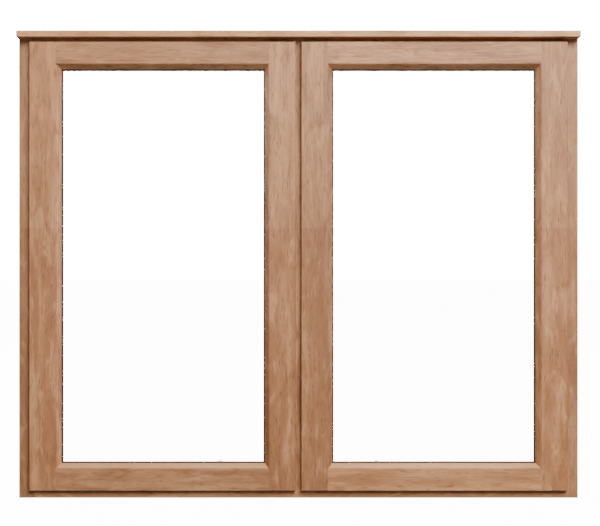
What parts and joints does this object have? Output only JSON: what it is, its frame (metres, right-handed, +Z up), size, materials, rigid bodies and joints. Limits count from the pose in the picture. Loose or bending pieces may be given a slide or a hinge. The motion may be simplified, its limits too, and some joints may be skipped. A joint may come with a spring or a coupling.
{
  "type": "double casement window",
  "caption": "Timber casement window with outward-opening lipped sashes hung at the outer jambs, a centre mullion, clear panes in splayed mouldings and a drip mould along the head.",
  "frame": {"origin": "middle of the sill's underside, halfway through the frame's depth", "axes": "+X across the window to the right seen from outside, +Y from outside to inside, +Z up"},
  "size_m": [1.2, 0.094, 1],
  "materials": {
    "timber": "hardwood, straight grain along each piece, thin satin stain",
    "glass": "clear float glass",
    "seal": "dark brown compression seal",
    "tape": "dark brown glazing tape",
    "block": "matt plastic",
    "hinge": "dull plated steel",
    "fitting": "satin plated steel",
    "screw": "plated steel"
  },
  "bodies": {
    "frame": {"catch_plate_left": "fitting", "catch_plate_right": "fitting", "drip_mould": "timber", "frame_pegs": "timber", "frame_screws": "screw", "head": "timber", "hinge_frame_leaves_left": "hinge", "hinge_frame_leaves_right": "hinge", "hinge_pins_left": "hinge", "hinge_pins_right": "hinge", "jamb_left": "timber", "jamb_right": "timber", "mullion": "timber", "sill": "timber", "stay_pegs_left": "fitting", "stay_pegs_right": "fitting", "weather_seal_left": "seal", "weather_seal_right": "seal"},
    "sash_left": {"hinge_stile_left": "timber", "meeting_stile_left": "timber", "top_rail_left": "timber", "bottom_rail_left": "timber", "glass_left": "glass", "glazing_tapes_left": "tape", "setting_blocks_left": "block", "rail_beads_left": "timber", "stile_beads_left": "timber", "sash_pegs_left": "timber", "hinge_sash_leaves_left": "hinge", "latch_base_left": "fitting", "latch_pivot_left": "fitting", "stay_bracket_left": "fitting", "stay_swivel_pin_left": "fitting", "sash_screws_left": "screw"},
    "latch_left": {"latch_lever_left": "fitting"},
    "stay_knuckle_left": {"stay_knuckle_left": "fitting"},
    "stay_arm_left": {"stay_arm_left": "fitting", "stay_lift_pin_left": "fitting"},
    "sash_right": {"hinge_stile_right": "timber", "meeting_stile_right": "timber", "top_rail_right": "timber", "bottom_rail_right": "timber", "glass_right": "glass", "glazing_tapes_right": "tape", "setting_blocks_right": "block", "rail_beads_right": "timber", "stile_beads_right": "timber", "sash_pegs_right": "timber", "hinge_sash_leaves_right": "hinge", "latch_base_right": "fitting", "latch_pivot_right": "fitting", "stay_bracket_right": "fitting", "stay_swivel_pin_right": "fitting", "sash_screws_right": "screw"},
    "latch_right": {"latch_lever_right": "fitting"},
    "stay_knuckle_right": {"stay_knuckle_right": "fitting"},
    "stay_arm_right": {"stay_arm_right": "fitting", "stay_lift_pin_right": "fitting"}
  },
  "joints": [
    {"name": "sash_left_swing", "type": "hinge", "parent": "frame", "child": "sash_left", "pos_m": [-0.57, -0.0405, 0.4985], "axis": [0, 0, -1], "range_deg": [0, 90]},
    {"name": "latch_left_turn", "type": "hinge", "parent": "sash_left", "child": "latch_left", "pos_m": [-0.046, 0.0073, 0.4985], "axis": [0, 1, 0], "range_deg": [-25, 65]},
    {"name": "stay_left_swivel", "type": "hinge", "parent": "sash_left", "child": "stay_knuckle_left", "pos_m": [-0.425, 0.012, 0.0465], "axis": [0, 0, 1], "range_deg": [0, 110]},
    {"name": "stay_left_lift", "type": "hinge", "parent": "stay_knuckle_left", "child": "stay_arm_left", "pos_m": [-0.411, 0.012, 0.0445], "axis": [0, -1, 0], "range_deg": [-3.5, 70]},
    {"name": "sash_right_swing", "type": "hinge", "parent": "frame", "child": "sash_right", "pos_m": [0.57, -0.0405, 0.4985], "axis": [0, 0, 1], "range_deg": [0, 90]},
    {"name": "latch_right_turn", "type": "hinge", "parent": "sash_right", "child": "latch_right", "pos_m": [0.046, 0.0073, 0.4985], "axis": [0, -1, 0], "range_deg": [-25, 65]},
    {"name": "stay_right_swivel", "type": "hinge", "parent": "sash_right", "child": "stay_knuckle_right", "pos_m": [0.425, 0.012, 0.0465], "axis": [0, 0, -1], "range_deg": [0, 110]},
    {"name": "stay_right_lift", "type": "hinge", "parent": "stay_knuckle_right", "child": "stay_arm_right", "pos_m": [0.411, 0.012, 0.0445], "axis": [0, 1, 0], "range_deg": [-3.5, 70]}
  ]
}
